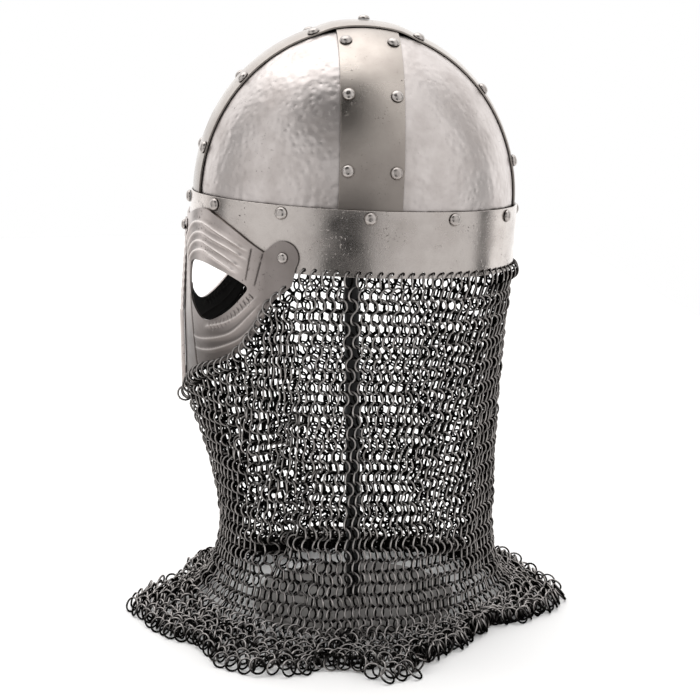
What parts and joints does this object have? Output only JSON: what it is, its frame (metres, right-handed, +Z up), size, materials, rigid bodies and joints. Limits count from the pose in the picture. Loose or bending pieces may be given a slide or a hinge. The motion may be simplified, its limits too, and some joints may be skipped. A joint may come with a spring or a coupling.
{
  "type": "norse iron helmet with mail aventail on a plain stand",
  "caption": "Riveted iron bowl of four plates with a spectacle visor and a hanging mail curtain, held up on a post with a round foot.",
  "frame": {"origin": "centre of the stand's underside, on the table", "axes": "+Z up, the face of the helmet looks towards -Y, the wearer's left is +X"},
  "size_m": [0.3109, 0.3166, 0.4194],
  "materials": {
    "brow_steel": "satin, smudged and lightly pitted",
    "strap_steel": "satin, lightly pitted",
    "plate_steel": "hammered and polished",
    "visor_steel": "embossed, satin",
    "rivet_steel": "domed heads, worn bright",
    "mail_wire": "oiled dark wire",
    "stand_black": "matt black paint",
    "stand_pale": "matt pale grey paint"
  },
  "bodies": {
    "root": {"brow_band": "brow_steel", "ridge_band": "strap_steel", "cross_band_left": "strap_steel", "cross_band_right": "strap_steel", "bowl_plate_front_left": "plate_steel", "bowl_plate_front_right": "plate_steel", "bowl_plate_back_left": "plate_steel", "bowl_plate_back_right": "plate_steel", "visor": "visor_steel", "nose_guard": "visor_steel", "rivet_brow_01": "rivet_steel", "rivet_brow_02": "rivet_steel", "rivet_brow_03": "rivet_steel", "rivet_brow_04": "rivet_steel", "rivet_brow_05": "rivet_steel", "rivet_brow_06": "rivet_steel", "rivet_brow_07": "rivet_steel", "rivet_brow_08": "rivet_steel", "rivet_brow_09": "rivet_steel", "rivet_brow_10": "rivet_steel", "rivet_brow_11": "rivet_steel", "rivet_brow_12": "rivet_steel", "rivet_crown": "rivet_steel", "rivet_ridge_left_1": "rivet_steel", "rivet_ridge_left_2": "rivet_steel", "rivet_ridge_left_3": "rivet_steel", "rivet_ridge_left_4": "rivet_steel", "rivet_ridge_left_5": "rivet_steel", "rivet_ridge_left_6": "rivet_steel", "rivet_cross_left_front_1": "rivet_steel", "rivet_cross_left_front_2": "rivet_steel", "rivet_cross_left_front_3": "rivet_steel", "rivet_cross_left_back_1": "rivet_steel", "rivet_cross_left_back_2": "rivet_steel", "rivet_cross_left_back_3": "rivet_steel", "rivet_ridge_right_1": "rivet_steel", "rivet_ridge_right_2": "rivet_steel", "rivet_ridge_right_3": "rivet_steel", "rivet_ridge_right_4": "rivet_steel", "rivet_ridge_right_5": "rivet_steel", "rivet_ridge_right_6": "rivet_steel", "rivet_cross_right_front_1": "rivet_steel", "rivet_cross_right_front_2": "rivet_steel", "rivet_cross_right_front_3": "rivet_steel", "rivet_cross_right_back_1": "rivet_steel", "rivet_cross_right_back_2": "rivet_steel", "rivet_cross_right_back_3": "rivet_steel", "rivet_visor_left": "rivet_steel", "rivet_visor_right": "rivet_steel", "rivet_visor_front": "rivet_steel", "mail_curtain": "mail_wire", "stand_post": "stand_black", "stand_base": "stand_pale"}
  },
  "joints": []
}
